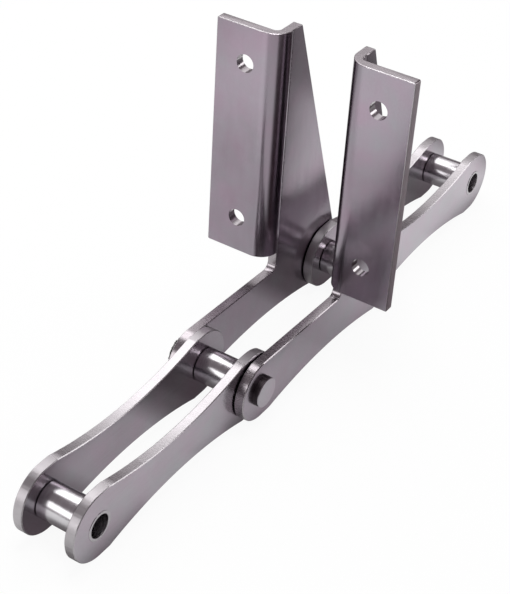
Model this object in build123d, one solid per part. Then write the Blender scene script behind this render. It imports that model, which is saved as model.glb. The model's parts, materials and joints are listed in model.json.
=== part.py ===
from build123d import *
import os
from math import acos, atan2, cos, degrees, hypot, radians, sin

# A length of conveyor chain: a front inner link, a middle outer link whose two
# plates carry tall bent wings, and a rear inner link.
#
# X runs along the chain, Y across it and Z up. The origin lies at mid-pitch of the
# middle link, on the surface that the chain stands on. "left" is the +Y side.
# All lengths are in millimetres.

# --- chain ---
pitch = 100.0  # from pin to pin, in every link
inner_width = 19.5  # clear width between two inner plates
plate_gap = 0.35  # from an inner plate to the wing plate beside it

# --- inner plates ---
inner_plate_thickness = 4.4
inner_plate_height = 30.0  # at the round ends
inner_waist_height = 18.6  # at mid-pitch
inner_shoulder = 6.0  # straight edge between a pin's line and the waist

# --- wing plates, as bars between their pins ---
wing_plate_thickness = 4.4
wing_plate_height = 27.4  # at the round ends
wing_waist = 9.3  # from the pitch line to the lower edge, at mid-pitch
wing_shoulder = 7.0
bar_top = 11.6  # from the pitch line to the top edge beside the relief

# --- wings: web, bend and flange ---
flange_front = 2.3  # front face, behind mid-pitch
flange_bottom = 20.4  # above the pitch line
flange_height = 106.5
flange_reach = 45.1  # from the chain's centre plane to the flange's outer edge
flange_corner = 0.8  # corner radius of the flange
bend_outer_radius = 8.8
bend_inner_radius = 2.2  # tighter than the outer one, so that the sheet thins in the bend
web_top_rear = 18.1  # top rear corner of the web, behind mid-pitch
web_corner = 1.2  # radius of that corner
relief_radius = 3.0  # corner between the bar's top edge and the web's front edge

# --- holes for whatever the wings carry ---
flange_hole_diameter = 8.0
flange_hole_margin = 16.5  # from the flange's top and bottom edges
flange_hole_reach = 30.8  # from the chain's centre plane

# --- pins, bushes and rollers ---
pin_diameter = 9.9
pin_clearance = 0.05  # all round, in the bush
bush_wall = 1.3
bush_proud = 0.2  # how far a bush stands out of its inner plate
roller_clearance = 0.08  # all round, on the bush
roller_wall = 1.3
roller_end_gap = 0.25  # from a roller to the inner plate on either side
roller_edge_break = 0.3  # chamfer
head_diameter = 13.2
head_height = 2.5
rivet_diameter = 14.0
rivet_height = 4.2
rivet_slope = 0.9  # how much the rivet's crown narrows, all round
rivet_dimple = 0.8  # depth of the spun hollow in the crown

# --- finish ---
edge_break = 0.35  # chamfer on the plates' long edges and the pin's head

# --- derived ---
pitch_line = inner_plate_height / 2
inner_face = inner_width / 2
wing_face = inner_face + inner_plate_thickness + plate_gap
wing_outside = wing_face + wing_plate_thickness
pin_radius = pin_diameter / 2
bush_bore = pin_radius + pin_clearance
bush_radius = bush_bore + bush_wall
bush_length = inner_width + 2 * (inner_plate_thickness + bush_proud)
roller_bore = bush_radius + roller_clearance
roller_radius = roller_bore + roller_wall
roller_length = inner_width - 2 * roller_end_gap
wing_end_radius = wing_plate_height / 2
bend_line = flange_front + bend_outer_radius
flange_top = flange_bottom + flange_height

LEFT = 1
RIGHT = -1


def pin_line(number):
    """X of a pin line, counted from 1 at the chain's front end."""
    return (number - 2.5) * pitch


def on_arc(centre_x, radius, angle):
    """Point on a plate's round end; the angle is in degrees from +X towards +Z."""
    return (centre_x + radius * cos(radians(angle)), radius * sin(radians(angle)))


def tangent_angle(centre_x, radius, point, turn):
    """Angle at which the line from a point touches a round end; turn is +1 or -1."""
    dx = point[0] - centre_x
    dz = point[1]
    return degrees(atan2(dz, dx) + turn * acos(radius / hypot(dx, dz)))


def slab(profile, face, thickness, side):
    """A plate cut to a profile, its nearer face this far from the centre plane."""
    start = face if side == LEFT else -face - thickness
    return Pos(0, start, pitch_line) * extrude(Plane.XZ * profile, amount=-thickness)


def cross_hole(x, radius):
    """A cutter for a hole right across the chain."""
    return Pos(x, 0, pitch_line) * Rot(X=90) * Cylinder(radius, 4 * wing_outside)


def waist_circle(edge, waist, shoulder):
    """The circle that cuts a bar's edge in to its waist between two shoulders."""
    half_chord = pitch / 2 - shoulder
    depth = edge - waist
    radius = (half_chord**2 + depth**2) / (2 * depth)
    return Pos(0, waist + radius) * Circle(radius)


def round_corner(outline, point, radius):
    """Fillet the corner of a flat outline that lies at a point."""
    corner = outline.vertices().sort_by_distance((*point, 0))[0]
    return fillet(corner, radius)


def inner_plate(front_pin, side):
    """A waisted plate with the two holes that hold its bushes."""
    waist = waist_circle(inner_plate_height / 2, inner_waist_height / 2, inner_shoulder)
    profile = SlotCenterToCenter(pitch, inner_plate_height) - waist - Rot(Z=180) * waist
    plate = slab(profile, inner_face, inner_plate_thickness, side)
    plate = chamfer(plate.faces().filter_by(Axis.Y).edges(), edge_break)
    middle = (pin_line(front_pin) + pin_line(front_pin + 1)) / 2
    plate = Pos(middle, 0, 0) * plate
    for number in (front_pin, front_pin + 1):
        plate -= cross_hole(pin_line(number), bush_radius)
    return plate


def wing_profile():
    """Bar and web of a wing plate in one outline, heights from the pitch line."""
    front = pin_line(2)
    rear = pin_line(3)
    edge = wing_end_radius
    relief_start = (bend_line - relief_radius, bar_top)
    relief_end = (bend_line, bar_top + relief_radius)
    relief_middle = (
        bend_line - relief_radius * (1 - cos(radians(45))),
        bar_top + relief_radius * (1 - sin(radians(45))),
    )
    web_corner_point = (web_top_rear, flange_top)
    front_touch = tangent_angle(front, edge, relief_start, 1)
    rear_touch = tangent_angle(rear, edge, web_corner_point, -1)
    with BuildLine() as outline:
        ThreePointArc(
            on_arc(front, edge, front_touch),
            on_arc(front, edge, (front_touch + 270) / 2),
            on_arc(front, edge, 270),
        )
        Line((front, -edge), (front + wing_shoulder, -edge))
        ThreePointArc(
            (front + wing_shoulder, -edge),
            ((front + rear) / 2, -wing_waist),
            (rear - wing_shoulder, -edge),
        )
        Line((rear - wing_shoulder, -edge), (rear, -edge))
        ThreePointArc(
            on_arc(rear, edge, -90),
            on_arc(rear, edge, (rear_touch - 90) / 2),
            on_arc(rear, edge, rear_touch),
        )
        Polyline(
            on_arc(rear, edge, rear_touch),
            web_corner_point,
            (bend_line, flange_top),
            relief_end,
        )
        ThreePointArc(relief_end, relief_middle, relief_start)
        Line(relief_start, on_arc(front, edge, front_touch))
    return round_corner(make_face(outline.line), web_corner_point, web_corner)


def wing_bar():
    """Bar and web of the left wing plate; the edge that meets the bend stays square."""
    bar = slab(wing_profile(), wing_face, wing_plate_thickness, LEFT)
    edges = bar.faces().filter_by(Axis.Y).edges()
    bend_edges = edges.filter_by(Axis.Z).filter_by_position(Axis.X, bend_line, bend_line)
    return chamfer([edge for edge in edges if edge not in bend_edges], edge_break)


def wing_flange():
    """Bend and flange of the left wing plate; the face that meets the web stays square."""
    flange_back = flange_front + wing_plate_thickness
    section = make_face(
        Polyline(
            (flange_front, wing_face),
            (bend_line, wing_face),
            (bend_line, wing_outside),
            (flange_back, wing_outside),
            (flange_back, flange_reach),
            (flange_front, flange_reach),
            close=True,
        )
    )
    section = round_corner(section, (flange_front, wing_face), bend_outer_radius)
    section = round_corner(section, (flange_back, wing_outside), bend_inner_radius)
    flange = Pos(0, 0, pitch_line + flange_bottom) * extrude(section, amount=flange_height)
    outer_corners = flange.edges().filter_by(Axis.X).group_by(Axis.Y)[-1]
    flange = fillet(outer_corners, flange_corner)
    bend_end = wing_face + bend_outer_radius
    seams = flange.edges().filter_by(Axis.Z).filter_by_position(Axis.Y, wing_face, bend_end)
    web_end = flange.faces().sort_by(Axis.X)[-1]
    crossing = flange.edges().filter_by(Axis.X)
    square = seams + web_end.edges() + crossing
    return chamfer([edge for edge in flange.edges() if edge not in square], edge_break)


def flange_holes():
    """Cutters for the two holes in the left flange."""
    heights = (flange_bottom + flange_hole_margin, flange_top - flange_hole_margin)
    cutter = Rot(Y=90) * Cylinder(flange_hole_diameter / 2, 4 * wing_plate_thickness)
    middle = flange_front + wing_plate_thickness / 2
    return [Pos(middle, flange_hole_reach, pitch_line + height) * cutter for height in heights]


def wing_plate(side):
    """One plate of the middle link: bar, web, bend and flange in one piece."""
    plate = wing_bar() + wing_flange()
    for cutter in flange_holes():
        plate -= cutter
    for number in (2, 3):
        plate -= cross_hole(pin_line(number), pin_radius)
    return plate if side == LEFT else mirror(plate, about=Plane.XZ)


def bush(number):
    """A sleeve pressed through both inner plates, its ends a little proud of them."""
    tube = Cylinder(bush_radius, bush_length) - Cylinder(bush_bore, bush_length)
    return Pos(pin_line(number), 0, pitch_line) * Rot(X=90) * tube


def roller(number):
    """A plain roller that turns on its bush between the inner plates."""
    body = Cylinder(roller_radius, roller_length)
    body = chamfer(body.edges(), roller_edge_break)
    body -= Cylinder(roller_bore, roller_length)
    return Pos(pin_line(number), 0, pitch_line) * Rot(X=90) * body


def pin(number):
    """A headed pin through both wing plates, riveted over on the left side."""
    head_radius = head_diameter / 2
    rivet_radius = rivet_diameter / 2
    crown_radius = rivet_radius - rivet_slope
    head_end = -wing_outside - head_height
    rivet_end = wing_outside + rivet_height
    profile = Polyline(
        (0, head_end),
        (head_radius - edge_break, head_end),
        (head_radius, head_end + edge_break),
        (head_radius, -wing_outside),
        (pin_radius, -wing_outside),
        (pin_radius, wing_outside),
        (rivet_radius, wing_outside),
        (rivet_radius, rivet_end - rivet_slope),
        (crown_radius, rivet_end),
        (crown_radius / 2, rivet_end),
        (0, rivet_end - rivet_dimple),
        close=True,
    )
    return Pos(pin_line(number), 0, pitch_line) * revolve(make_face(profile), Axis.Y)


parts = {}
for side, word in ((LEFT, "left"), (RIGHT, "right")):
    parts[f"front_inner_plate_{word}"] = inner_plate(1, side)
    parts[f"rear_inner_plate_{word}"] = inner_plate(3, side)
    parts[f"wing_plate_{word}"] = wing_plate(side)
for number in (1, 2, 3, 4):
    parts[f"bush_{number}"] = bush(number)
    parts[f"roller_{number}"] = roller(number)
for number, word in ((2, "front"), (3, "rear")):
    parts[f"{word}_pin"] = pin(number)

os.makedirs("parts", exist_ok=True)
for name, solid in parts.items():
    export_step(solid, f"parts/{name}.step")
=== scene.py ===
import json
from math import cos, pi, radians, sin

import bpy
from mathutils import Matrix, Vector


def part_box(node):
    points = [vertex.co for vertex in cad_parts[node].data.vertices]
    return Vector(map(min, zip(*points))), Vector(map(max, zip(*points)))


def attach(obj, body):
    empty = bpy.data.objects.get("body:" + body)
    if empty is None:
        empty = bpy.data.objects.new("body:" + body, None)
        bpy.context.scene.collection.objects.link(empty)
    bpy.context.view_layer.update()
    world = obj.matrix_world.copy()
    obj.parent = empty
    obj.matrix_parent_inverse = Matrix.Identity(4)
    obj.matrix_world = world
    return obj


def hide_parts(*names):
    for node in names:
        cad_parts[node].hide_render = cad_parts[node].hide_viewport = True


bl_info = {
    "name": "Wing attachment chain",
    "version": (1, 0, 0),
    "blender": (4, 5, 0),
    "location": "View3D > Sidebar > Chain",
    "description": "Finishes a length of steel conveyor chain with a winged link, and its studio",
    "category": "Object",
}

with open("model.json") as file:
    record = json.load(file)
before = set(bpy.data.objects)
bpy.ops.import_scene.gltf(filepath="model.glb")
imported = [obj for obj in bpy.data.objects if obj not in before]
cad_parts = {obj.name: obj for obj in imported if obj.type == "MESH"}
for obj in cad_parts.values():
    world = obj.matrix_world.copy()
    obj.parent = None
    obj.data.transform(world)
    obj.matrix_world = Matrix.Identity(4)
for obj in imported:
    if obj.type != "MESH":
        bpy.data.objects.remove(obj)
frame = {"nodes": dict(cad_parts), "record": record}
record = frame["record"]
NODES = [part["node"] for part in record["subparts"]]
INNER_PLATES = [node for node in NODES if "inner_plate" in node]
WING_PLATES = [node for node in NODES if node.startswith("wing_plate")]
BUSHES = [node for node in NODES if node.startswith("bush")]
ROLLERS = [node for node in NODES if node.startswith("roller")]
PINS = [node for node in NODES if node.endswith("_pin")]
BORE = next(mount for mount in record["mounts"] if mount["kind"] == "bore")
BUSH_BORE = BORE["dims"]["r_mm"] / 1000
WING_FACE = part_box("wing_plate_left")[0][1]
ALONG = Vector((1, 0, 0))
ACROSS = Vector((0, 1, 0))
HOLES = next(mount for mount in record["mounts"] if mount["kind"] == "bolt_pattern")
FLANGE_FRONT = HOLES["pos_m"][0]

# Meshes: lengths in metres, angles in degrees.
MERGE_DISTANCE = 0.000002
FLATNESS = 0.4
POINT_SIZE = 0.001
BAR_SMOOTHING = 12
WING_SMOOTHING = 40
TURNED_SMOOTHING = 15

# Pin heads: a ring on the flat end and the middle of the rounding, as shares of their radii.
HEAD_RING = 0.5
ROUNDING_MIDDLE = 0.3

# Riveted ends: the hollow crown by shares of the radius and depths below the end, the rim's inset
# and taper as shares of the rivet chipping, and how many times finer the second dents are.
CROWN = ((0.7, 0.0001), (0.5, 0.0002), (0.3, 0.0005), (0, 0.0008))
RIM_STEPS = 9
RIM_INSET = 0.25
RIM_TAPER = 0.5
DENT_SEED = 3
DENT_EASING = 0.4
FINE_DENTS = 6

# Finishes: factors on a colour's channels, roughness of the turned pieces but the rollers, and
# depths of the surface marks in metres.
DARK_CLOUD = (0.88, 0.82, 0.85)
LIGHT_CLOUD = (1.08, 1.12, 1.12)
WARM_PATCH = (1.04, 0.965, 1)
COOL_PATCH = (0.96, 1.035, 0.99)
BUSH_ROUGHNESS = 0.26
PIN_ROUGHNESS = 0.28
SCALE_ROUGHNESS = 0.42
ROLLING_DEPTH = 0.0000015
MILLING_DEPTH = 0.0000008
TURNING_DEPTH = 0.000004
POLISHING_DEPTH = 0.0000015
PITTING_DEPTH = 0.00012

# Grain along X, Y and Z: a small number draws a noise out into lines along that axis.
EVEN = (1, 1, 1)
BAR_GRAIN = (0.04, 1, 1)
WING_GRAIN = (0.3, 0.3, 0.05)
BAR_EDGE_GRAIN = (1, 0.05, 1)
HOLE_GRAIN = (0.05, 1, 1)
RING_GRAIN = (0.02, 1, 0.02)
SCRAPE_GRAIN = (1, 0.3, 1)

# Sockets of a Mix node that mixes colours.
MIX_FIRST = 6
MIX_SECOND = 7
MIX_RESULT = 2

# Studio: each softbox with its place, the point that it faces, width, height and brightness; what
# metal mirrors of the room, by the sine of the angle above the horizon; and the camera's limits.
SOFTBOXES = (
    ("Overhead softbox", (0, 0, 1), (0, 0, 0), 0.4, 0.4, 7.5),
    ("Left softbox", (0.37, 0.48, 0.9), (0.37, 0.48, 0), 0.75, 0.4, 2.6),
    ("Rear softbox", (0.94, 0.43, 0.86), (0, 0, 0), 1.4, 0.46, 0.95),
    ("Front softbox", (-1.19, 0.56, 0.5), (0, 0, 0), 0.9, 0.62, 2.2),
    ("Edge softbox", (0.76, -0.66, 0.46), (0, 0, 0), 0.3, 0.3, 3),
)
HORIZON = (0.03, (0.3, 0.27, 0.285, 1))
CEILING = (0.13, (0.2, 0.17, 0.185, 1))
WHITE = (1, 1, 1, 1)
SENSOR_WIDTH = 36
NEAREST = 0.01
FARTHEST = 50


# ---------- settings ----------


class SteelSettings(bpy.types.PropertyGroup):
    """Colours and finishes of the chain's steels"""

    face_colour: bpy.props.FloatVectorProperty(
        name="Plate face",
        description="Colour of the rolled faces of the plates",
        subtype="COLOR",
        size=3,
        min=0,
        max=1,
        default=(0.415, 0.375, 0.415),
    )
    wing_colour: bpy.props.FloatVectorProperty(
        name="Wing face",
        description="Colour of the rolled faces of the wing plates",
        subtype="COLOR",
        size=3,
        min=0,
        max=1,
        default=(0.342, 0.297, 0.34),
    )
    edge_colour: bpy.props.FloatVectorProperty(
        name="Cut edge",
        description="Colour of the machined edges of the inner plates",
        subtype="COLOR",
        size=3,
        min=0,
        max=1,
        default=(0.44, 0.42, 0.435),
    )
    wing_edge_colour: bpy.props.FloatVectorProperty(
        name="Wing edge",
        description="Colour of the machined edges of the wing plates",
        subtype="COLOR",
        size=3,
        min=0,
        max=1,
        default=(0.4, 0.37, 0.39),
    )
    sheared_colour: bpy.props.FloatVectorProperty(
        name="Sheared edge",
        description="Colour of the sheared top and bottom edges of the flanges",
        subtype="COLOR",
        size=3,
        min=0,
        max=1,
        default=(0.21, 0.18, 0.195),
    )
    # Painted light: the upright sides of the flanges are coloured far lighter than the sheared top
    # and bottom edges of the same cut, to lighten their tone.
    side_colour: bpy.props.FloatVectorProperty(
        name="Flange side",
        description="Painted light colour of the dull upright edges of the flanges",
        subtype="COLOR",
        size=3,
        min=0,
        max=1,
        default=(0.74, 0.685, 0.715),
    )
    # Painted highlight: the chamfers along the flanges' edges get a light colour that stands in for
    # the bright lines of light along them.
    corner_colour: bpy.props.FloatVectorProperty(
        name="Flange corner",
        description="Painted highlight colour of the corners along the edges of the flanges",
        subtype="COLOR",
        size=3,
        min=0,
        max=1,
        default=(0.72, 0.695, 0.715),
    )
    hole_colour: bpy.props.FloatVectorProperty(
        name="Flange hole",
        description="Colour of the walls of the holes in the flanges",
        subtype="COLOR",
        size=3,
        min=0,
        max=1,
        default=(0.5, 0.47, 0.49),
    )
    roller_colour: bpy.props.FloatVectorProperty(
        name="Roller",
        description="Colour of the ground and polished rollers",
        subtype="COLOR",
        size=3,
        min=0,
        max=1,
        default=(0.6, 0.585, 0.605),
    )
    turned_colour: bpy.props.FloatVectorProperty(
        name="Turned steel",
        description="Colour of the bushes and of the pins",
        subtype="COLOR",
        size=3,
        min=0,
        max=1,
        default=(0.44, 0.42, 0.44),
    )
    rivet_colour: bpy.props.FloatVectorProperty(
        name="Peened steel",
        description="Colour of the rough rim of a riveted pin end",
        subtype="COLOR",
        size=3,
        min=0,
        max=1,
        default=(0.16, 0.155, 0.15),
    )
    # Painted shade: the side of a pin's head gets a near-black colour that stands in for the shade
    # and dark reflections it sits in.
    scale_colour: bpy.props.FloatVectorProperty(
        name="Painted head shade",
        description="Painted shade colour of the side of a pin's head",
        subtype="COLOR",
        size=3,
        min=0,
        max=1,
        default=(0.06, 0.05, 0.055),
    )
    face_roughness: bpy.props.FloatProperty(
        name="Face roughness",
        description="How much the rolled faces blur what they mirror",
        subtype="FACTOR",
        min=0,
        max=1,
        default=0.2,
    )
    edge_roughness: bpy.props.FloatProperty(
        name="Edge roughness",
        description="How much the machined edges blur what they mirror",
        subtype="FACTOR",
        min=0,
        max=1,
        default=0.26,
    )
    sheared_roughness: bpy.props.FloatProperty(
        name="Sheared roughness",
        description="How much the sheared edges blur what they mirror",
        subtype="FACTOR",
        min=0,
        max=1,
        default=0.5,
    )
    side_roughness: bpy.props.FloatProperty(
        name="Side roughness",
        description="How much the upright edges of the flanges blur what they mirror",
        subtype="FACTOR",
        min=0,
        max=1,
        default=0.7,
    )
    corner_roughness: bpy.props.FloatProperty(
        name="Corner roughness",
        description="How much the worn corners of the flanges blur what they mirror",
        subtype="FACTOR",
        min=0,
        max=1,
        default=0.55,
    )
    hole_roughness: bpy.props.FloatProperty(
        name="Hole roughness",
        description="How much the walls of the holes in the flanges blur what they mirror",
        subtype="FACTOR",
        min=0,
        max=1,
        default=0.2,
    )
    rim_roughness: bpy.props.FloatProperty(
        name="Rim roughness",
        description="How much the rims of the inner plates' round ends blur what they mirror",
        subtype="FACTOR",
        min=0,
        max=1,
        default=0.38,
    )
    roller_roughness: bpy.props.FloatProperty(
        name="Roller roughness",
        description="How much the polished rollers blur what they mirror",
        subtype="FACTOR",
        min=0,
        max=1,
        default=0.22,
    )


class PlateSettings(bpy.types.PropertyGroup):
    """Where the plates' edges change, and where the wing plates' sheet bends and has its holes"""

    shoulder: bpy.props.FloatProperty(
        name="Shoulder",
        description="Straight edge of an inner plate between a pin's line and the waist",
        unit="LENGTH",
        min=0,
        default=0.006,
    )
    bend_radius: bpy.props.FloatProperty(
        name="Bend radius",
        description="Outer radius of the bend between web and flange",
        unit="LENGTH",
        min=0,
        default=0.0088,
    )
    flange_bottom: bpy.props.FloatProperty(
        name="Flange bottom",
        description="Height of the flange's lower edge above the floor",
        unit="LENGTH",
        min=0,
        default=0.0354,
    )
    hole_margin: bpy.props.FloatProperty(
        name="Hole margin",
        description="Least width of sheet between a hole and the flange's edges",
        unit="LENGTH",
        min=0,
        default=0.005,
    )


class TurnedSettings(bpy.types.PropertyGroup):
    """Sizes of the turned pieces that the frame's boxes don't give"""

    steps: bpy.props.IntProperty(
        name="Steps",
        description="Facets round each turned piece",
        min=24,
        max=192,
        default=112,
    )
    bush_edge: bpy.props.FloatProperty(
        name="Bush edge",
        description="Rounding of the ends of a bush",
        unit="LENGTH",
        min=0,
        default=0.00022,
    )
    roller_edge: bpy.props.FloatProperty(
        name="Roller edge",
        description="Rounding of the ends of a roller",
        unit="LENGTH",
        min=0,
        default=0.0003,
    )
    roller_clearance: bpy.props.FloatProperty(
        name="Roller clearance",
        description="Running clearance of a roller on its bush, all round",
        unit="LENGTH",
        min=0,
        default=0.00008,
    )
    pin_clearance: bpy.props.FloatProperty(
        name="Pin clearance",
        description="Running clearance of a pin in its bush, all round",
        unit="LENGTH",
        min=0,
        default=0.00005,
    )
    head_radius: bpy.props.FloatProperty(
        name="Head radius",
        description="Radius of a pin's head",
        unit="LENGTH",
        min=0,
        default=0.0066,
    )
    head_height: bpy.props.FloatProperty(
        name="Head height",
        description="Height of a pin's head",
        unit="LENGTH",
        min=0,
        default=0.0025,
    )
    head_edge: bpy.props.FloatProperty(
        name="Head edge",
        description="Rounding of a pin's head",
        unit="LENGTH",
        min=0,
        default=0.0003,
    )
    rivet_collar: bpy.props.FloatProperty(
        name="Rivet collar",
        description="Smooth length of the riveted end, next to the plate",
        unit="LENGTH",
        min=0,
        default=0.0022,
    )
    rivet_height: bpy.props.FloatProperty(
        name="Rivet height",
        description="Whole length of the riveted end",
        unit="LENGTH",
        min=0,
        default=0.0042,
    )
    rivet_chipping: bpy.props.FloatProperty(
        name="Rivet chipping",
        description="Depth of the hammer marks in the rim of the riveted end, and of its taper",
        unit="LENGTH",
        min=0,
        default=0.0005,
    )


class StageSettings(bpy.types.PropertyGroup):
    """Floor, lamps and camera"""

    floor_size: bpy.props.FloatProperty(
        name="Floor size",
        description="Side of the square floor",
        unit="LENGTH",
        min=1,
        default=16,
    )
    floor_white: bpy.props.FloatProperty(
        name="Floor white",
        description="How much of the diffuse light the floor returns",
        subtype="FACTOR",
        min=0,
        max=1,
        default=0.86,
    )
    floor_glow: bpy.props.FloatProperty(
        name="Floor glow",
        description="Share of plain white in the floor as seen; the rest takes the shadow",
        subtype="FACTOR",
        min=0,
        max=1,
        default=0.93,
    )
    mirror_glow: bpy.props.FloatProperty(
        name="Mirrored glow",
        description="Share of plain white in the floor that metal mirrors",
        subtype="FACTOR",
        min=0,
        max=1,
        default=0.25,
    )
    mirror_dark: bpy.props.FloatVectorProperty(
        name="Dark floor",
        description="Colour that metal mirrors from the darkest part of the floor",
        subtype="COLOR",
        size=3,
        min=0,
        max=1,
        default=(0.045, 0.028, 0.035),
    )
    mirror_dim: bpy.props.FloatProperty(
        name="Dim floor",
        description="Share of light on the floor beyond the pools of light",
        subtype="FACTOR",
        min=0,
        max=1,
        default=0.35,
    )
    chain_shade: bpy.props.FloatProperty(
        name="Shade between the plates",
        description="Share of light that the floor between the plates loses",
        subtype="FACTOR",
        min=0,
        max=1,
        default=0.17,
    )
    roller_shade: bpy.props.FloatProperty(
        name="Shade under the rollers",
        description="Share of light that the floor under each roller loses",
        subtype="FACTOR",
        min=0,
        max=1,
        default=0.75,
    )
    gleam: bpy.props.FloatProperty(
        name="Gleam",
        description="Brightness of the brightest spots of the floor, as metal mirrors them",
        min=0,
        default=1.5,
    )
    front_gleam: bpy.props.FloatVectorProperty(
        name="Front gleam",
        description="Bright spot before the chain: centre, half sizes, turn and share",
        size=6,
        default=(-0.25, 0.115, 0.09, 0.08, 0, 0.9),
    )
    rear_gleam: bpy.props.FloatVectorProperty(
        name="Rear gleam",
        description="Bright spot beside the rear link: centre, half sizes, turn and share",
        size=6,
        default=(0.15, -0.03, 0.09, 0.04, 0, 0.35),
    )
    gleam_softness: bpy.props.FloatProperty(
        name="Gleam softness",
        description="Half the width of a bright spot's rim, as a share of the spot's size",
        min=0.01,
        max=1,
        default=0.5,
    )
    front_dim: bpy.props.FloatProperty(
        name="Front dimming",
        description="Share of light that the front pool lacks",
        subtype="FACTOR",
        min=0,
        max=1,
        default=0.13,
    )
    front_pool: bpy.props.FloatVectorProperty(
        name="Front pool",
        description="Light on the floor before the chain: centre, half sizes and turn",
        size=5,
        default=(-0.232, 0.026, 0.28, 0.2, radians(56)),
    )
    chain_pool: bpy.props.FloatVectorProperty(
        name="Chain pool",
        description="Light on the floor round the chain: centre, half sizes and turn",
        size=5,
        default=(0, 0, 0.2, 0.041, 0),
    )
    rear_pool: bpy.props.FloatVectorProperty(
        name="Rear pool",
        description="Light on the floor beside the rear link: centre, half sizes and turn",
        size=5,
        default=(0.145, -0.034, 0.075, 0.025, radians(-26)),
    )
    dark_corner: bpy.props.FloatVectorProperty(
        name="Dark corner",
        description="Darkness on the floor to the right of the chain: centre, half sizes and turn",
        size=5,
        default=(0.027, -0.173, 0.2, 0.15, radians(-34)),
    )
    shade: bpy.props.FloatVectorProperty(
        name="Shade",
        description="Shade on the floor between the plates: centre, half sizes and turn",
        size=5,
        default=(0, 0, 0.17, 0.0125, 0),
    )
    roller_shade_size: bpy.props.FloatVectorProperty(
        name="Roller shade",
        description="Shade on the floor under each roller: half sizes",
        size=2,
        default=(0.026, 0.016),
    )
    pool_softness: bpy.props.FloatProperty(
        name="Pool softness",
        description="Half the width of a pool's rim, as a share of the pool's size",
        min=0.01,
        max=0.5,
        default=0.12,
    )
    world_strength: bpy.props.FloatProperty(
        name="Room light",
        description="Strength of the even light of the room",
        min=0,
        default=0.5,
    )
    lens: bpy.props.FloatProperty(
        name="Lens",
        description="Focal length, in millimetres",
        min=10,
        default=91.65,
    )
    azimuth: bpy.props.FloatProperty(
        name="Azimuth",
        description="Direction that the camera looks from, round from the chain's right side",
        subtype="ANGLE",
        default=radians(-58.92),
    )
    elevation: bpy.props.FloatProperty(
        name="Elevation",
        description="Height of the camera above the horizon",
        subtype="ANGLE",
        default=radians(35.85),
    )
    roll: bpy.props.FloatProperty(
        name="Roll",
        description="Turn of the camera about its own line of sight",
        subtype="ANGLE",
        default=radians(3.86),
    )
    distance: bpy.props.FloatProperty(
        name="Distance",
        description="From the camera to the point that it looks at",
        unit="LENGTH",
        min=0.05,
        default=0.65659,
    )
    target: bpy.props.FloatVectorProperty(
        name="Target",
        description="Point that the camera looks at",
        subtype="TRANSLATION",
        size=3,
        default=(-0.00425, 0.01482, 0.02056),
    )


# ---------- mesh helpers ----------


def deselect_all():
    """Leaves nothing selected, in object mode."""
    if bpy.context.object and bpy.context.object.mode != "OBJECT":
        bpy.ops.object.mode_set(mode="OBJECT")
    bpy.ops.object.select_all(action="DESELECT")


def pick(piece):
    """Makes one piece the only selected one, and the active one."""
    deselect_all()
    piece.select_set(True)
    bpy.context.view_layer.objects.active = piece


def open_with(piece, kind, test):
    """Opens a piece in edit mode with the vertices, edges or faces that pass a test selected."""
    pick(piece)
    mesh = piece.data
    groups = {"VERT": mesh.vertices, "EDGE": mesh.edges, "FACE": mesh.polygons}
    for group in groups.values():
        group.foreach_set("select", [False] * len(group))
    for item in groups[kind]:
        item.select = test(item)
    bpy.context.tool_settings.mesh_select_mode = [kind == name for name in groups]
    bpy.ops.object.mode_set(mode="EDIT")


def close_edit():
    """Back to object mode."""
    bpy.ops.object.mode_set(mode="OBJECT")


def body_of(node):
    """The body that carries a node."""
    bodies = record["behaviour"]["bodies"]
    return next(body for body, nodes in bodies.items() if node in nodes)


def stand_in(piece, node):
    """The finished piece takes its node's place on its node's body."""
    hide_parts(node)
    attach(piece, body_of(node))


def copy_of(node, name):
    """A piece with its own copy of a node's mesh, its loose triangles joined into whole faces."""
    piece = bpy.data.objects.new(name, frame["nodes"][node].data.copy())
    bpy.context.scene.collection.objects.link(piece)
    piece.data.materials.clear()
    open_with(piece, "FACE", lambda face: True)
    bpy.ops.mesh.remove_doubles(threshold=MERGE_DISTANCE)
    bpy.ops.mesh.select_all(action="SELECT")
    bpy.ops.mesh.dissolve_limited(angle_limit=radians(FLATNESS))
    close_edit()
    return piece


def smooth_shading(piece, angle):
    """Smooth shading wherever two faces meet at less than an angle."""
    pick(piece)
    bpy.ops.object.shade_smooth_by_angle(angle=radians(angle))


def even_shading(piece, angle):
    """Smooth shading up to an angle, with the large faces kept flat."""
    smooth_shading(piece, angle)
    weighting = piece.modifiers.new("Flat faces", "WEIGHTED_NORMAL")
    weighting.mode = "FACE_AREA"
    weighting.weight = 100
    weighting.keep_sharp = True
    bpy.ops.object.modifier_apply(modifier=weighting.name)


def turned(name, node, profile, steps):
    """A piece turned about its node's axis: profile points are (radius, place along Y)."""
    low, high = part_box(node)
    axis = Vector(((low[0] + high[0]) / 2, 0, (low[2] + high[2]) / 2))
    points = [axis + Vector((radius, along, 0)) for radius, along in profile]
    deselect_all()
    bpy.ops.mesh.primitive_plane_add(size=POINT_SIZE, location=points[0])
    piece = bpy.context.object
    piece.name = name
    bpy.ops.object.transform_apply(location=True, rotation=True, scale=True)
    open_with(piece, "VERT", lambda vertex: True)
    bpy.ops.mesh.merge(type="CENTER")
    for start, end in zip(points, points[1:]):
        bpy.ops.mesh.extrude_vertices_move(TRANSFORM_OT_translate={"value": end - start})
    bpy.ops.mesh.select_all(action="SELECT")
    bpy.ops.mesh.spin(steps=steps, angle=2 * pi, center=axis, axis=(0, 1, 0))
    bpy.ops.mesh.select_all(action="SELECT")
    bpy.ops.mesh.remove_doubles(threshold=MERGE_DISTANCE)
    bpy.ops.mesh.normals_make_consistent(inside=False)
    close_edit()
    return piece


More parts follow.
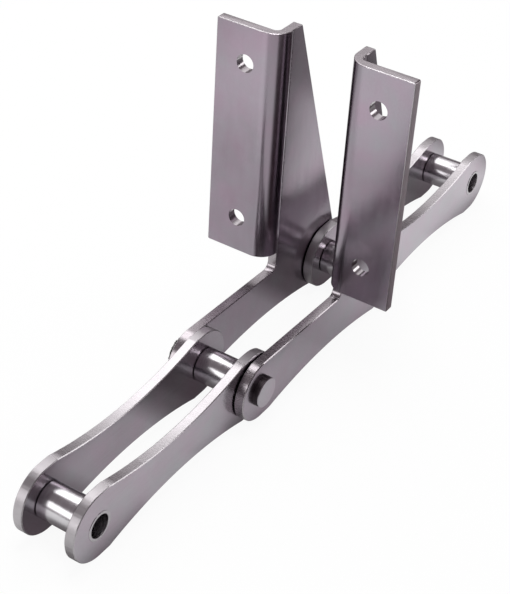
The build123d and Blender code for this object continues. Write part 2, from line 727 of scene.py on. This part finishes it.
def rounded(profile, radius, steps=4):
    """A closed profile with each of its square corners rounded to a radius."""
    result = []
    count = len(profile)
    for index, corner in enumerate(profile):
        point = Vector(corner)
        before = (Vector(profile[index - 1]) - point).normalized()
        after = (Vector(profile[(index + 1) % count]) - point).normalized()
        centre = point + (before + after) * radius
        for step in range(steps + 1):
            turn = step / steps * pi / 2
            result.append(tuple(centre - after * radius * cos(turn) - before * radius * sin(turn)))
    return result


def sleeve_profile(radius, bore, length, edge):
    """Closed cross-section of a plain sleeve with rounded ends."""
    half = length / 2
    corners = [(bore, -half), (radius, -half), (radius, half), (bore, half)]
    points = rounded(corners, edge)
    return points + points[:1]


# ---------- material helpers ----------


class Finish:
    """A new metal material with its nodes at hand."""

    def __init__(self, name):
        self.material = bpy.data.materials.new(name)
        self.material.use_nodes = True
        self.nodes = self.material.node_tree.nodes
        self.links = self.material.node_tree.links
        self.shader = self.nodes["Principled BSDF"]
        self.shader.inputs["Metallic"].default_value = 1
        self.place = self.nodes.new("ShaderNodeTexCoord").outputs["Object"]

    def noise(self, grain, scale, detail=3, roughness=0.55, centre=(0, 0, 0)):
        """Noise over the piece, drawn out along an axis by a small number in grain."""
        mapping = self.nodes.new("ShaderNodeMapping")
        mapping.inputs["Location"].default_value = centre
        mapping.inputs["Scale"].default_value = grain
        self.links.new(self.place, mapping.inputs["Vector"])
        noise = self.nodes.new("ShaderNodeTexNoise")
        noise.inputs["Scale"].default_value = scale
        noise.inputs["Detail"].default_value = detail
        noise.inputs["Roughness"].default_value = roughness
        self.links.new(mapping.outputs["Vector"], noise.inputs["Vector"])
        return noise.outputs["Fac"]

    def spread(self, value, low, high, start=0.3, end=0.7):
        """A value between two limits, read from a noise."""
        node = self.nodes.new("ShaderNodeMapRange")
        node.inputs["From Min"].default_value = start
        node.inputs["From Max"].default_value = end
        node.inputs["To Min"].default_value = low
        node.inputs["To Max"].default_value = high
        self.links.new(value, node.inputs["Value"])
        return node.outputs["Result"]

    def combine(self, operation, first, second):
        """Two values made one."""
        node = self.nodes.new("ShaderNodeMath")
        node.operation = operation
        self.links.new(first, node.inputs[0])
        self.links.new(second, node.inputs[1])
        return node.outputs["Value"]

    def between(self, value, first, second):
        """A colour between two, read from a value of 0 to 1."""
        node = self.nodes.new("ShaderNodeMix")
        node.data_type = "RGBA"
        node.inputs[MIX_FIRST].default_value = (*first, 1)
        node.inputs[MIX_SECOND].default_value = (*second, 1)
        self.links.new(value, node.inputs["Factor"])
        return node.outputs[MIX_RESULT]

    def tinted(self, colour, tint):
        """A colour multiplied by a tint."""
        node = self.nodes.new("ShaderNodeMix")
        node.data_type = "RGBA"
        node.blend_type = "MULTIPLY"
        node.inputs["Factor"].default_value = 1
        self.links.new(colour, node.inputs[MIX_FIRST])
        self.links.new(tint, node.inputs[MIX_SECOND])
        return node.outputs[MIX_RESULT]

    def tone(self, value, dark, light, tint=None):
        """The piece's colour runs between two with a value of 0 to 1, and may have a tint."""
        colour = self.between(value, dark, light)
        if tint:
            colour = self.tinted(colour, tint)
        self.links.new(colour, self.shader.inputs["Base Color"])

    def rough(self, value):
        """The piece's roughness follows a value."""
        self.links.new(value, self.shader.inputs["Roughness"])

    def relief(self, value, depth):
        """The piece's surface rises and falls with a value, by a depth for each 1 of it."""
        node = self.nodes.new("ShaderNodeBump")
        node.inputs["Strength"].default_value = 1
        node.inputs["Distance"].default_value = depth
        self.links.new(value, node.inputs["Height"])
        self.links.new(node.outputs["Normal"], self.shader.inputs["Normal"])


def shade(colour, factor):
    """A colour made darker or lighter, by one factor or by one for each channel."""
    factors = factor if isinstance(factor, tuple) else (factor,) * 3
    return tuple(min(1, channel * share) for channel, share in zip(colour, factors))


def rolled_face(name, colour, roughness, grain):
    """Rolled and pickled sheet: faint clouds and tints, fine lines, specks and low waves."""
    finish = Finish(name)
    clouds = finish.noise(EVEN, scale=30, detail=5, roughness=0.62)
    lines = finish.noise(grain, scale=900, detail=4, roughness=0.65, centre=(0.3, 0.1, 0.2))
    speckle = finish.noise(EVEN, scale=1500, detail=2, roughness=0.7)
    mixed = finish.combine("ADD", finish.spread(clouds, 0, 0.6), finish.spread(lines, 0, 0.25))
    mixed = finish.combine("ADD", mixed, finish.spread(speckle, 0, 0.15))
    patches = finish.noise(EVEN, scale=70, centre=(0.2, 0.6, 0.5))
    tint = finish.between(finish.spread(patches, 0, 1), WARM_PATCH, COOL_PATCH)
    finish.tone(mixed, shade(colour, DARK_CLOUD), shade(colour, LIGHT_CLOUD), tint)
    dull = finish.spread(clouds, roughness * 0.85, roughness * 1.2)
    finish.rough(finish.combine("ADD", dull, finish.spread(lines, -0.02, 0.03)))
    waves = finish.noise(EVEN, scale=55, detail=1.5, roughness=0.45, centre=(0.7, 0.4, 0.1))
    height = finish.combine("ADD", finish.spread(waves, 0, 60, 0, 1), finish.spread(lines, 0, 0.6))
    finish.relief(height, ROLLING_DEPTH)
    return finish.material


def cut_edge(name, colour, roughness, grain=BAR_EDGE_GRAIN):
    """Machined edge of a plate: fine tool marks drawn out by the grain, with faint patches."""
    finish = Finish(name)
    marks = finish.noise(grain, scale=1700, roughness=0.6)
    patches = finish.noise(EVEN, scale=130)
    mixed = finish.combine("ADD", finish.spread(marks, 0, 0.55), finish.spread(patches, 0, 0.45))
    finish.tone(mixed, shade(colour, 0.92), shade(colour, 1.08))
    finish.rough(finish.spread(marks, roughness * 0.9, roughness * 1.15))
    finish.relief(marks, MILLING_DEPTH)
    return finish.material


def turned_finish(name, colour, roughness, ring_scale=2600, depth=TURNING_DEPTH, variation=0.1):
    """Turned or ground steel: fine rings round its axis along Y, and marks of handling."""
    finish = Finish(name)
    rings = finish.noise(RING_GRAIN, ring_scale, roughness=0.6)
    handling = finish.noise(EVEN, scale=210, detail=4, roughness=0.6)
    mixed = finish.combine("ADD", finish.spread(rings, 0, 0.55), finish.spread(handling, 0, 0.45))
    finish.tone(mixed, shade(colour, 1 - variation), shade(colour, 1 + variation))
    dull = finish.spread(rings, roughness * 0.8, roughness * 1.1)
    finish.rough(finish.combine("ADD", dull, finish.spread(handling, -0.01, 0.04)))
    finish.relief(rings, depth)
    return finish.material


def peened_finish(name, colour):
    """The rough rim of a riveted end: dark, pitted steel with bright scrapes."""
    finish = Finish(name)
    pits = finish.noise(EVEN, scale=900, detail=4, roughness=0.7)
    scrapes = finish.noise(SCRAPE_GRAIN, scale=1600, roughness=0.7)
    raised = finish.spread(pits, 0, 1, 0.38, 0.66)
    mixed = finish.combine("MULTIPLY", raised, finish.spread(scrapes, 0, 1, 0.4, 0.7))
    finish.tone(mixed, shade(colour, 0.4), shade(colour, 3.2))
    finish.rough(finish.spread(pits, 0.62, 0.36))
    finish.relief(pits, PITTING_DEPTH)
    return finish.material


# ---------- pieces ----------


def dress(piece, finishes, choose):
    """Gives each face of a piece the finish that a test chooses for it."""
    for finish in finishes:
        piece.data.materials.append(finish)
    for face in piece.data.polygons:
        face.material_index = finishes.index(choose(face))


def looks_along(face, direction, least=0.8):
    """Whether a face looks along a direction, either way, with at least this cosine between."""
    return abs(face.normal.dot(direction)) > least


class CHAIN_OT_inner_plates(bpy.types.Operator):
    """Finish the inner plates of the two plain links"""

    bl_idname = "chain.inner_plates"
    bl_label = "Inner plates"

    def execute(self, context):
        steel = context.scene.chain_steel
        face = rolled_face("Inner plate face", steel.face_colour, steel.face_roughness, BAR_GRAIN)
        edge = cut_edge("Inner plate waist", steel.edge_colour, steel.edge_roughness)
        rim = cut_edge("Inner plate rim", steel.edge_colour, steel.rim_roughness)
        for node in INNER_PLATES:
            piece = copy_of(node, node.replace("plate", "bar"))
            low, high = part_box(node)
            middle = (low[0] + high[0]) / 2
            pin_reach = (high[0] - low[0]) / 2 - (high[2] - low[2]) / 2
            waist_reach = pin_reach - context.scene.chain_plate.shoulder

            def choose(polygon):
                if looks_along(polygon, ACROSS):
                    return face
                return rim if abs(polygon.center.x - middle) > waist_reach else edge

            dress(piece, (face, edge, rim), choose)
            even_shading(piece, BAR_SMOOTHING)
            stand_in(piece, node)
        return {"FINISHED"}


def wing_sheet_normal(point):
    """Which way a wing plate's sheet faces at a point: across the chain, along it, or between."""
    sizes = bpy.context.scene.chain_plate
    bend_x = FLANGE_FRONT + sizes.bend_radius
    bend_y = WING_FACE + sizes.bend_radius
    reach = abs(point.y)
    if point.z < sizes.flange_bottom or point.x > bend_x:
        return ACROSS
    if reach > bend_y:
        return ALONG
    side = 1 if point.y > 0 else -1
    return Vector((point.x - bend_x, side * (reach - bend_y), 0)).normalized()


class CHAIN_OT_wing_plates(bpy.types.Operator):
    """Finish the two wing plates of the middle link"""

    bl_idname = "chain.wing_plates"
    bl_label = "Wing plates"

    def execute(self, context):
        steel = context.scene.chain_steel
        face = rolled_face("Wing plate face", steel.wing_colour, steel.face_roughness, WING_GRAIN)
        edge = cut_edge("Wing plate edge", steel.wing_edge_colour, steel.edge_roughness)
        sheared = cut_edge("Flange edge", steel.sheared_colour, steel.sheared_roughness)
        # Painted light: the flanges' upright sides take a lighter colour than their sheared edges.
        side = cut_edge("Flange side", steel.side_colour, steel.side_roughness)
        # Painted highlight: the flanges' chamfers take a light colour in place of their glint.
        corner = cut_edge("Flange corner", steel.corner_colour, steel.corner_roughness, EVEN)
        bore = cut_edge("Flange hole", steel.hole_colour, steel.hole_roughness, HOLE_GRAIN)
        sizes = context.scene.chain_plate
        flange_start = WING_FACE + sizes.bend_radius
        flange_reach, flange_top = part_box("wing_plate_left")[1][1:]
        holes_start = sizes.flange_bottom + sizes.hole_margin
        holes_end = flange_top - sizes.hole_margin
        holes_reach = flange_reach - sizes.hole_margin

        def choose(polygon):
            if looks_along(polygon, wing_sheet_normal(polygon.center)):
                return face
            reach = abs(polygon.center.y)
            if reach < flange_start:
                return edge
            if reach < holes_reach and holes_start < polygon.center.z < holes_end:
                return bore
            if looks_along(polygon, ALONG, 0.5):
                return corner
            # Upright sides get the painted-light colour, top and bottom edges the sheared one.
            return side if looks_along(polygon, ACROSS) else sheared

        for node in WING_PLATES:
            piece = copy_of(node, node.replace("plate", "sheet"))
            dress(piece, (face, edge, sheared, side, corner, bore), choose)
            even_shading(piece, WING_SMOOTHING)
            stand_in(piece, node)
        return {"FINISHED"}


class CHAIN_OT_bushes(bpy.types.Operator):
    """Turn the four bushes"""

    bl_idname = "chain.bushes"
    bl_label = "Bushes"

    def execute(self, context):
        steel = context.scene.chain_steel
        sizes = context.scene.chain_turned
        finish = turned_finish("Bush steel", steel.turned_colour, BUSH_ROUGHNESS)
        for node in BUSHES:
            low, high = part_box(node)
            radius = (high[2] - low[2]) / 2
            profile = sleeve_profile(radius, BUSH_BORE, high[1] - low[1], sizes.bush_edge)
            piece = turned(node.replace("bush", "sleeve"), node, profile, sizes.steps)
            piece.data.materials.append(finish)
            smooth_shading(piece, TURNED_SMOOTHING)
            stand_in(piece, node)
        return {"FINISHED"}


class CHAIN_OT_rollers(bpy.types.Operator):
    """Turn and polish the four rollers"""

    bl_idname = "chain.rollers"
    bl_label = "Rollers"

    def execute(self, context):
        steel = context.scene.chain_steel
        sizes = context.scene.chain_turned
        finish = turned_finish(
            "Roller steel", steel.roller_colour, steel.roller_roughness, depth=POLISHING_DEPTH
        )
        bush_low, bush_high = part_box(BUSHES[0])
        bore = (bush_high[2] - bush_low[2]) / 2 + sizes.roller_clearance
        for node in ROLLERS:
            low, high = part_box(node)
            radius = (high[2] - low[2]) / 2
            profile = sleeve_profile(radius, bore, high[1] - low[1], sizes.roller_edge)
            piece = turned(node.replace("roller", "barrel"), node, profile, sizes.steps)
            piece.data.materials.append(finish)
            smooth_shading(piece, TURNED_SMOOTHING)
            stand_in(piece, node)
        return {"FINISHED"}


def chip_rim(piece, start, depth, seed):
    """Hammers the rim of a riveted end: dents eased into each other, with finer ones over them."""
    open_with(piece, "VERT", lambda vertex: vertex.co.y > start)
    bpy.ops.transform.vertex_random(offset=depth, uniform=0.2, normal=1, seed=seed)
    bpy.ops.mesh.vertices_smooth(factor=DENT_EASING, repeat=1)
    bpy.ops.transform.vertex_random(
        offset=depth / FINE_DENTS, uniform=0.5, normal=0.5, seed=seed + len(PINS)
    )
    close_edit()


class CHAIN_OT_pins(bpy.types.Operator):
    """Turn the two pins, with a flat head and a riveted end"""

    bl_idname = "chain.pins"
    bl_label = "Pins"

    def execute(self, context):
        steel = context.scene.chain_steel
        sizes = context.scene.chain_turned
        turned_steel = turned_finish("Pin steel", steel.turned_colour, PIN_ROUGHNESS)
        peened_steel = peened_finish("Riveted steel", steel.rivet_colour)
        head_steel = rolled_face("Pin head face", steel.face_colour, steel.face_roughness, EVEN)
        # Painted shade: the side of the head takes the near-black shade colour.
        scaled_steel = turned_finish(
            "Pin head side", steel.scale_colour, SCALE_ROUGHNESS, ring_scale=700, variation=0.3
        )
        for number, node in enumerate(PINS):
            low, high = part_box(node)
            shank = BUSH_BORE - sizes.pin_clearance
            head = sizes.head_radius
            under_head = low[1] + sizes.head_height
            plate = high[1] - sizes.rivet_height
            rim_start = plate + sizes.rivet_collar
            edge = sizes.head_edge
            rivet = (high[2] - low[2]) / 2
            profile = [
                (0, low[1]),
                (head * HEAD_RING, low[1]),
                (head - edge, low[1]),
                (head - edge * ROUNDING_MIDDLE, low[1] + edge * ROUNDING_MIDDLE),
                (head, low[1] + edge),
                (head, under_head),
                (shank, under_head),
                (shank, plate),
                (rivet, plate),
                (rivet, rim_start),
            ]
            for step in range(1, RIM_STEPS + 1):
                share = step / RIM_STEPS
                along = rim_start + (high[1] - rim_start) * share
                inset = sizes.rivet_chipping * (RIM_INSET + RIM_TAPER * share**4)
                profile.append((rivet - inset, along))
            profile += [(rivet * share, high[1] - depth) for share, depth in CROWN]
            piece = turned(node + "_steel", node, profile, sizes.steps)
            dents_start = rim_start + sizes.rivet_chipping / 2
            chip_rim(piece, dents_start, sizes.rivet_chipping, DENT_SEED + number)

            def choose(polygon):
                if polygon.center.y > rim_start:
                    return peened_steel
                if polygon.center.y < low[1] + edge:
                    return head_steel
                return scaled_steel if polygon.center.y < under_head else turned_steel

            dress(piece, (turned_steel, peened_steel, head_steel, scaled_steel), choose)
            smooth_shading(piece, TURNED_SMOOTHING)
            stand_in(piece, node)
        return {"FINISHED"}


# ---------- stage ----------


class Floor:
    """The floor's material: white to the eye, with a shadow; metal mirrors pools of light in it."""

    def __init__(self, settings):
        self.material = bpy.data.materials.new("Studio floor")
        self.material.use_nodes = True
        self.nodes = self.material.node_tree.nodes
        self.links = self.material.node_tree.links
        self.nodes.clear()
        self.place = self.nodes.new("ShaderNodeTexCoord").outputs["Object"]
        white = settings.floor_white
        paint = self.nodes.new("ShaderNodeBsdfDiffuse")
        paint.inputs["Color"].default_value = (white, white, white, 1)
        rays = self.nodes.new("ShaderNodeLightPath").outputs
        mirrored = self.math("MAXIMUM", rays["Is Glossy Ray"], rays["Is Transmission Ray"])
        seen = self.math("MULTIPLY", rays["Is Camera Ray"], settings.floor_glow)
        lit = self.math("MULTIPLY", mirrored, settings.mirror_glow)
        surface = self.mix(self.math("MAXIMUM", seen, lit), paint.outputs["BSDF"], self.glow())
        for place in (settings.front_gleam, settings.rear_gleam):
            share = self.patch(place, settings.gleam_softness, place[5], 0)
            gleam = self.glow(settings.gleam)
            surface = self.mix(self.math("MULTIPLY", mirrored, share), surface, gleam)
        dark = self.patch(settings.dark_corner, settings.pool_softness, 1, 1 - settings.mirror_dim)
        pools = (
            (settings.front_pool, settings.front_dim),
            (settings.chain_pool, 0),
            (settings.rear_pool, 0),
        )
        for pool, dimming in pools:
            dark = self.math("MINIMUM", dark, self.patch(pool, settings.pool_softness, dimming, 1))
        shades = [self.patch(settings.shade, settings.pool_softness, settings.chain_shade, 0)]
        for node in ROLLERS:
            low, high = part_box(node)
            place = ((low[0] + high[0]) / 2, 0, *settings.roller_shade_size, 0)
            shades.append(self.patch(place, settings.gleam_softness, settings.roller_shade, 0))
        for patch in shades:
            dark = self.math("MAXIMUM", dark, patch)
        darkness = self.glow(1, settings.mirror_dark)
        surface = self.mix(self.math("MULTIPLY", mirrored, dark), surface, darkness)
        output = self.nodes.new("ShaderNodeOutputMaterial")
        self.links.new(surface, output.inputs["Surface"])

    def math(self, operation, first, second):
        """One value made of two; the second may be a plain number."""
        node = self.nodes.new("ShaderNodeMath")
        node.operation = operation
        self.links.new(first, node.inputs[0])
        if isinstance(second, float):
            node.inputs[1].default_value = second
        else:
            self.links.new(second, node.inputs[1])
        return node.outputs["Value"]

    def glow(self, strength=1, colour=(1, 1, 1)):
        """Light of its own."""
        node = self.nodes.new("ShaderNodeEmission")
        node.inputs["Color"].default_value = (*colour, 1)
        node.inputs["Strength"].default_value = strength
        return node.outputs["Emission"]

    def mix(self, share, first, second):
        """One surface made of two."""
        node = self.nodes.new("ShaderNodeMixShader")
        self.links.new(share, node.inputs["Fac"])
        self.links.new(first, node.inputs[1])
        self.links.new(second, node.inputs[2])
        return node.outputs["Shader"]

    def patch(self, place, softness, inside, outside):
        """One value in an oblong patch of the floor and another beyond its soft rim."""
        mapping = self.nodes.new("ShaderNodeMapping")
        mapping.vector_type = "TEXTURE"
        mapping.inputs["Location"].default_value = (place[0], place[1], 0)
        mapping.inputs["Rotation"].default_value = (0, 0, place[4])
        mapping.inputs["Scale"].default_value = (place[2], place[3], 1)
        self.links.new(self.place, mapping.inputs["Vector"])
        reach = self.nodes.new("ShaderNodeVectorMath")
        reach.operation = "ABSOLUTE"
        self.links.new(mapping.outputs["Vector"], reach.inputs[0])
        split = self.nodes.new("ShaderNodeSeparateXYZ")
        self.links.new(reach.outputs["Vector"], split.inputs["Vector"])
        rim = self.nodes.new("ShaderNodeMapRange")
        rim.interpolation_type = "SMOOTHSTEP"
        rim.inputs["From Min"].default_value = 1 - softness
        rim.inputs["From Max"].default_value = 1 + softness
        rim.inputs["To Min"].default_value = inside
        rim.inputs["To Max"].default_value = outside
        distance = self.math("MAXIMUM", split.outputs["X"], split.outputs["Y"])
        self.links.new(distance, rim.inputs["Value"])
        return rim.outputs["Result"]


def lamp(name, place, target, width, height, brightness):
    """An oblong soft lamp that faces a point; brightness 1 is as bright as plain white."""
    data = bpy.data.lights.new(name, "AREA")
    data.shape = "RECTANGLE"
    data.size = width
    data.size_y = height
    data.energy = pi * width * height * brightness
    holder = bpy.data.objects.new(name, data)
    away = (Vector(place) - Vector(target)).normalized()
    turn = away.to_track_quat("Z", "Y").to_matrix().to_4x4()
    holder.matrix_world = Matrix.Translation(place) @ turn
    holder.visible_camera = False
    bpy.context.scene.collection.objects.link(holder)


def room(strength):
    """Even light, white to the eye; metal mirrors a pale horizon under a darker ceiling."""
    world = bpy.context.scene.world or bpy.data.worlds.new("Studio")
    bpy.context.scene.world = world
    world.use_nodes = True
    nodes = world.node_tree.nodes
    links = world.node_tree.links
    nodes.clear()
    output = nodes.new("ShaderNodeOutputWorld")
    rays = nodes.new("ShaderNodeLightPath")
    direction = nodes.new("ShaderNodeTexCoord")
    split = nodes.new("ShaderNodeSeparateXYZ")
    links.new(direction.outputs["Generated"], split.inputs["Vector"])
    ramp = nodes.new("ShaderNodeValToRGB")
    for stop, (height, colour) in zip(ramp.color_ramp.elements, (HORIZON, CEILING)):
        stop.position = height
        stop.color = colour
    links.new(split.outputs["Z"], ramp.inputs["Fac"])
    even = nodes.new("ShaderNodeBackground")
    even.inputs["Color"].default_value = WHITE
    even.inputs["Strength"].default_value = strength
    mirrored = nodes.new("ShaderNodeBackground")
    links.new(ramp.outputs["Color"], mirrored.inputs["Color"])
    white = nodes.new("ShaderNodeBackground")
    white.inputs["Color"].default_value = WHITE
    first = nodes.new("ShaderNodeMixShader")
    links.new(rays.outputs["Is Glossy Ray"], first.inputs["Fac"])
    links.new(even.outputs["Background"], first.inputs[1])
    links.new(mirrored.outputs["Background"], first.inputs[2])
    second = nodes.new("ShaderNodeMixShader")
    links.new(rays.outputs["Is Camera Ray"], second.inputs["Fac"])
    links.new(first.outputs["Shader"], second.inputs[1])
    links.new(white.outputs["Background"], second.inputs[2])
    links.new(second.outputs["Shader"], output.inputs["Surface"])


def camera(settings):
    """The camera, turned about its own line of sight by the roll."""
    azimuth = settings.azimuth
    elevation = settings.elevation
    flat = Vector((sin(azimuth), -cos(azimuth), 0))
    away = flat * cos(elevation) + Vector((0, 0, sin(elevation)))
    across = Vector((cos(azimuth), sin(azimuth), 0))
    upward = away.cross(across)
    turn = Matrix((across, upward, away)).transposed() @ Matrix.Rotation(settings.roll, 3, "Z")
    data = bpy.data.cameras.new("Camera")
    data.lens = settings.lens
    data.sensor_width = SENSOR_WIDTH
    data.clip_start = NEAREST
    data.clip_end = FARTHEST
    holder = bpy.data.objects.new("Camera", data)
    place = Vector(settings.target) + away * settings.distance
    holder.matrix_world = Matrix.Translation(place) @ turn.to_4x4()
    bpy.context.scene.collection.objects.link(holder)
    bpy.context.scene.camera = holder


class CHAIN_OT_stage(bpy.types.Operator):
    """Lay the floor and set the lamps and the camera"""

    bl_idname = "chain.stage"
    bl_label = "Stage"

    def execute(self, context):
        settings = context.scene.chain_stage
        deselect_all()
        bpy.ops.mesh.primitive_plane_add(size=settings.floor_size, location=(0, 0, 0))
        floor = context.object
        floor.name = "Floor"
        floor.data.materials.append(Floor(settings).material)
        room(settings.world_strength)
        for softbox in SOFTBOXES:
            lamp(*softbox)
        camera(settings)
        context.scene.view_settings.view_transform = "Standard"
        return {"FINISHED"}


class CHAIN_PT_panel(bpy.types.Panel):
    """The chain's pieces and finishes"""

    bl_label = "Wing attachment chain"
    bl_idname = "CHAIN_PT_panel"
    bl_space_type = "VIEW_3D"
    bl_region_type = "UI"
    bl_category = "Chain"

    def draw(self, context):
        layout = self.layout
        scene = context.scene
        groups = (scene.chain_steel, scene.chain_plate, scene.chain_turned, scene.chain_stage)
        for settings in groups:
            box = layout.box()
            for name in settings.__annotations__:
                box.prop(settings, name)
        for operator in OPERATORS:
            layout.operator(operator.bl_idname)


OPERATORS = (
    CHAIN_OT_inner_plates,
    CHAIN_OT_wing_plates,
    CHAIN_OT_bushes,
    CHAIN_OT_rollers,
    CHAIN_OT_pins,
    CHAIN_OT_stage,
)
CLASSES = (SteelSettings, PlateSettings, TurnedSettings, StageSettings, *OPERATORS, CHAIN_PT_panel)


def register():
    for item in CLASSES:
        bpy.utils.register_class(item)
    bpy.types.Scene.chain_steel = bpy.props.PointerProperty(type=SteelSettings)
    bpy.types.Scene.chain_plate = bpy.props.PointerProperty(type=PlateSettings)
    bpy.types.Scene.chain_turned = bpy.props.PointerProperty(type=TurnedSettings)
    bpy.types.Scene.chain_stage = bpy.props.PointerProperty(type=StageSettings)


def unregister():
    del bpy.types.Scene.chain_stage
    del bpy.types.Scene.chain_turned
    del bpy.types.Scene.chain_plate
    del bpy.types.Scene.chain_steel
    for item in reversed(CLASSES):
        bpy.utils.unregister_class(item)


def main():
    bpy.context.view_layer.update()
    register()
    bpy.ops.chain.inner_plates()
    bpy.ops.chain.wing_plates()
    bpy.ops.chain.bushes()
    bpy.ops.chain.rollers()
    bpy.ops.chain.pins()
    bpy.ops.chain.stage()


if __name__ == "__main__":
    main()
